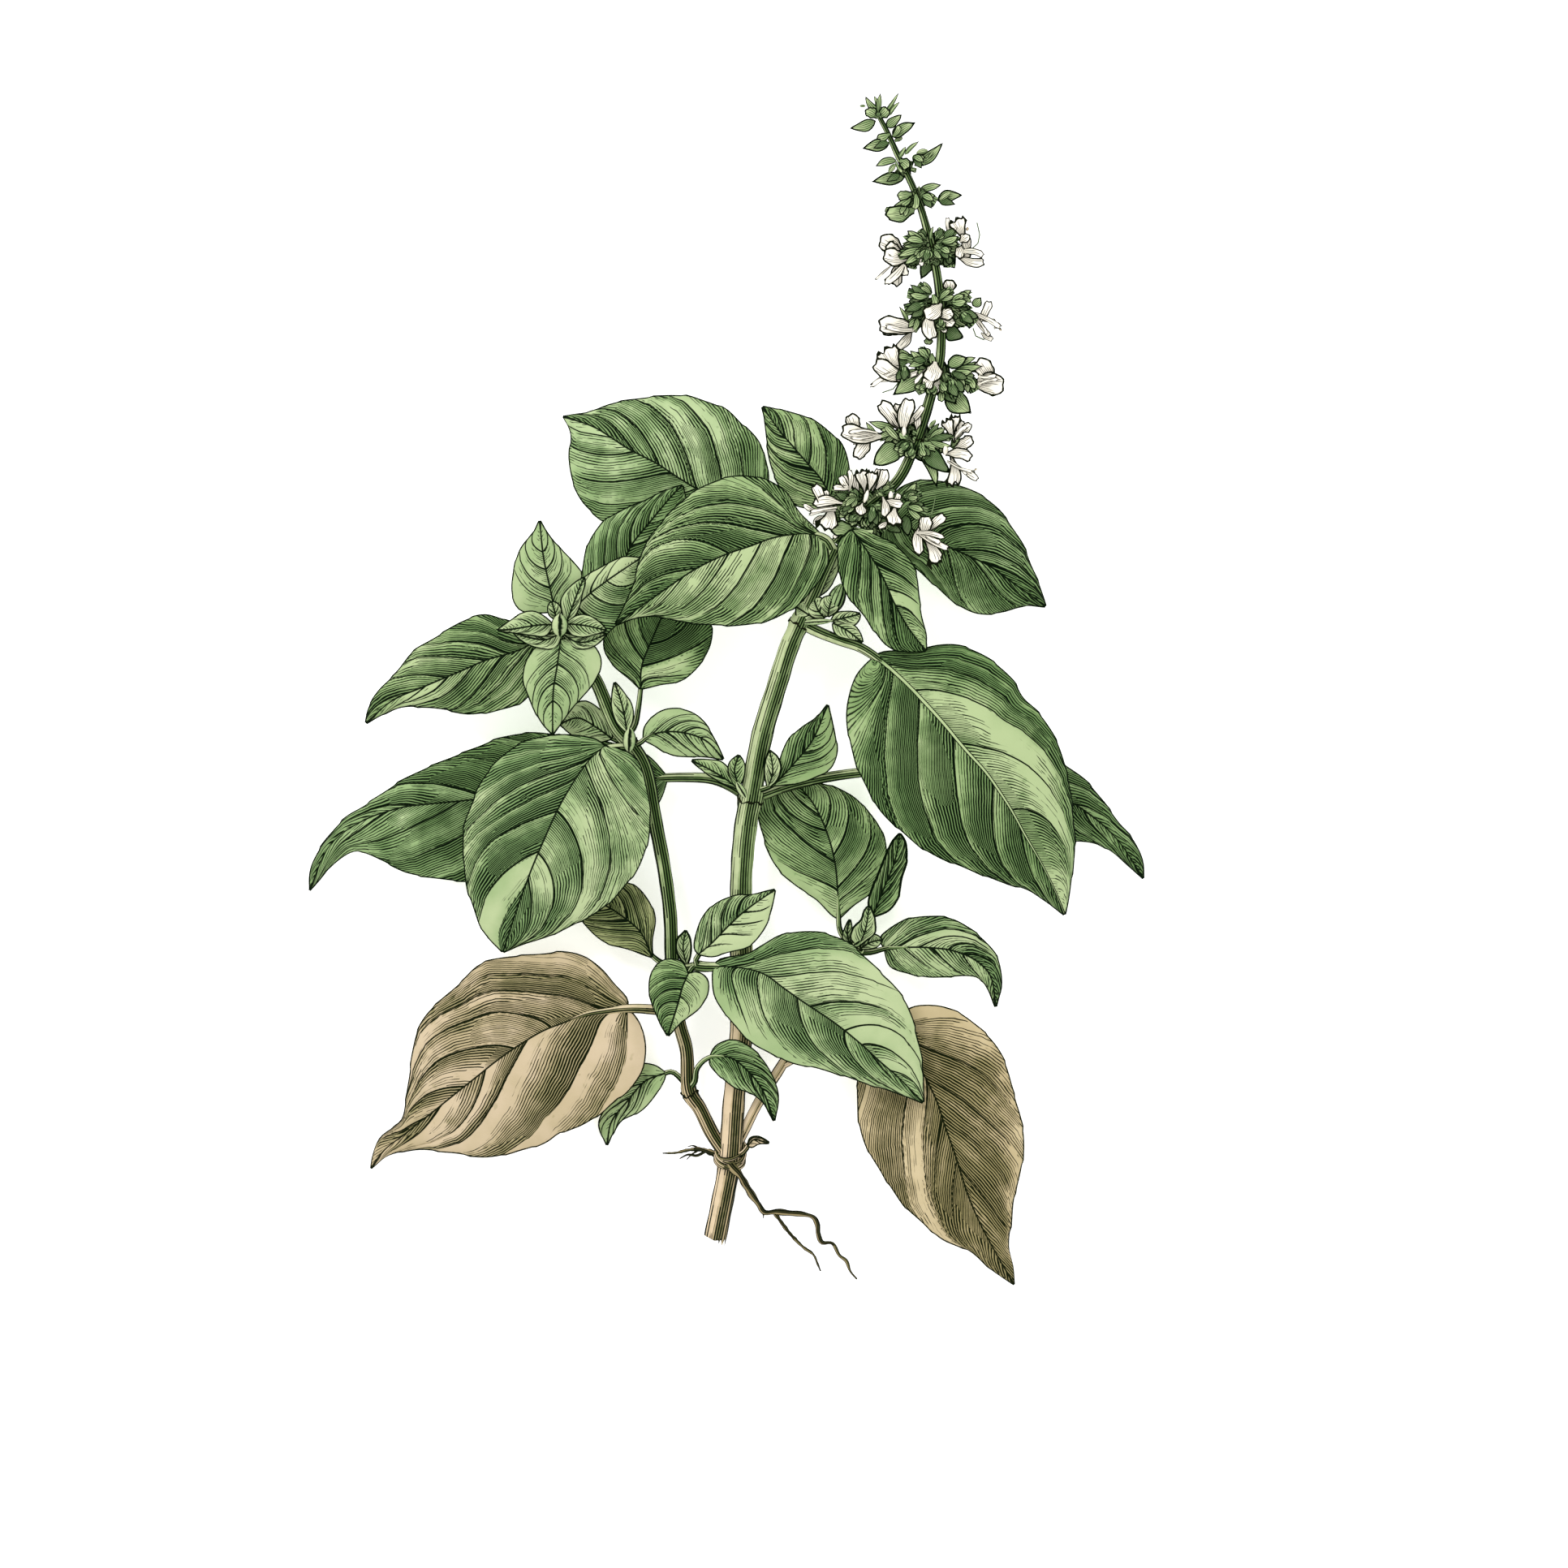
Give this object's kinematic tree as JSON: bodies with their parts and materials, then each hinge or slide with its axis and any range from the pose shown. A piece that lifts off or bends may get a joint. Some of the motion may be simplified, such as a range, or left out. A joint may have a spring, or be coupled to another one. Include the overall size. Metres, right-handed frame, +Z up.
{
  "type": "basil sprig",
  "caption": "Flowering basil sprig lying flat: branched ridged stem, broad quilted green leaves, old tan leaves, a curved spike of small cream flowers, and thin roots.",
  "frame": {"origin": "middle of the sprig's footprint, on the surface it lies on", "axes": "+Z up from that surface; +Y from the cut end of the stem towards the flower spike; +X to the right seen from above"},
  "size_m": [0.1858, 0.265, 0.0316],
  "materials": {
    "stem_tan": "matte, ridged, green on its shaded side",
    "stem_green": "matte, ridged",
    "leaf_green": "matte, quilted between the veins",
    "leaf_dark": "matte, quilted between the veins",
    "leaf_fresh": "matte, quilted between the veins",
    "leaf_tan": "dry, matte",
    "leaf_brown": "dry, matte",
    "calyx_green": "matte, ribbed",
    "petal_cream": "soft satin",
    "root_brown": "matte"
  },
  "bodies": {
    "root": {"main_stem": "stem_tan", "flower_spike_stem": "stem_green", "left_branch": "stem_green", "right_branch": "stem_tan", "front_shoot": "stem_green", "leaf_top_left": "leaf_dark", "leaf_behind_top_left": "leaf_dark", "leaf_upper_left_front": "leaf_green", "leaf_upper_middle": "leaf_green", "leaf_right_top": "leaf_dark", "leaf_under_flowers": "leaf_green", "side_shoot_leaf_top": "leaf_fresh", "side_shoot_leaf_left": "leaf_green", "side_shoot_leaf_front": "leaf_fresh", "side_shoot_leaf_right": "leaf_dark", "hanging_leaf": "leaf_green", "left_axil_leaf_left": "leaf_fresh", "left_axil_leaf_right": "leaf_fresh", "leaf_middle_left_front": "leaf_fresh", "small_dark_leaf": "leaf_dark", "brown_leaf_left": "leaf_tan", "leaf_middle_left_back": "leaf_dark", "middle_node_leaf_right": "leaf_green", "leaf_right_back": "leaf_dark", "leaf_right_big": "leaf_green", "leaf_right_lower": "leaf_green", "folded_leaf_right": "leaf_green", "leaf_low_right_side": "leaf_fresh", "brown_leaf_right": "leaf_brown", "front_leaf_light": "leaf_fresh", "front_leaf_up": "leaf_fresh", "front_leaf_down": "leaf_green", "lower_node_leaf_left": "leaf_fresh", "lower_node_leaf_right": "leaf_dark", "withered_bract": "leaf_tan", "side_shoot_bud": "leaf_fresh", "left_axil_bud": "leaf_fresh", "middle_node_leaves_left": "leaf_green", "upper_node_shoot": "leaf_green", "right_axil_bracts": "leaf_fresh", "whorl_1": "calyx_green", "whorl_2": "calyx_green", "whorl_3": "calyx_green", "whorl_4": "calyx_green", "whorl_5": "calyx_green", "bud_whorl_1": "calyx_green", "bud_whorl_2": "calyx_green", "spike_tip_buds": "calyx_green", "corolla_1_left": "petal_cream", "corolla_1_right": "petal_cream", "corolla_2_left": "petal_cream", "corolla_2_right": "petal_cream", "corolla_3_left": "petal_cream", "corolla_3_right": "petal_cream", "corolla_4_left": "petal_cream", "corolla_4_right": "petal_cream", "corolla_5_left": "petal_cream", "corolla_5_right": "petal_cream", "long_root": "root_brown", "rootlet_left": "root_brown"}
  },
  "joints": []
}
